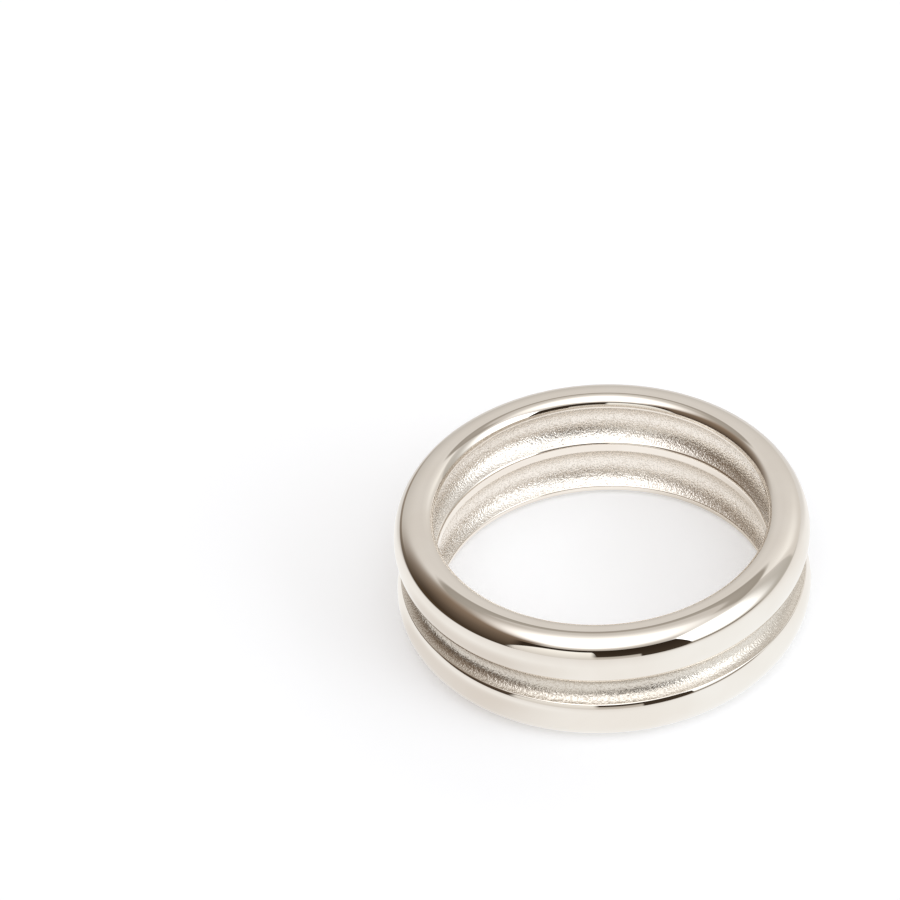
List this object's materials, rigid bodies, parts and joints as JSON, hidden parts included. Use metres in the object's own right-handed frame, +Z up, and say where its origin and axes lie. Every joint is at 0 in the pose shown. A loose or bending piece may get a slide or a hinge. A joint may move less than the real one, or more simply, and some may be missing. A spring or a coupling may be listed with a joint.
{
  "type": "double band ring",
  "caption": "Double finger ring: polished domed bands in one casting, with a sunk grained groove between them and grained channels inside, lying on its side.",
  "frame": {"origin": "centre of the ring's footprint, on the surface that it lies on", "axes": "+Z up along the finger hole's axis; the ring is the same all round it"},
  "size_m": [0.0216, 0.0216, 0.0067],
  "materials": {
    "polished_silver": "mirror-polished domes, rims and rib, with a fine grained finish in the groove and the channels"
  },
  "bodies": {
    "root": {"double_band": "polished_silver"}
  },
  "joints": []
}
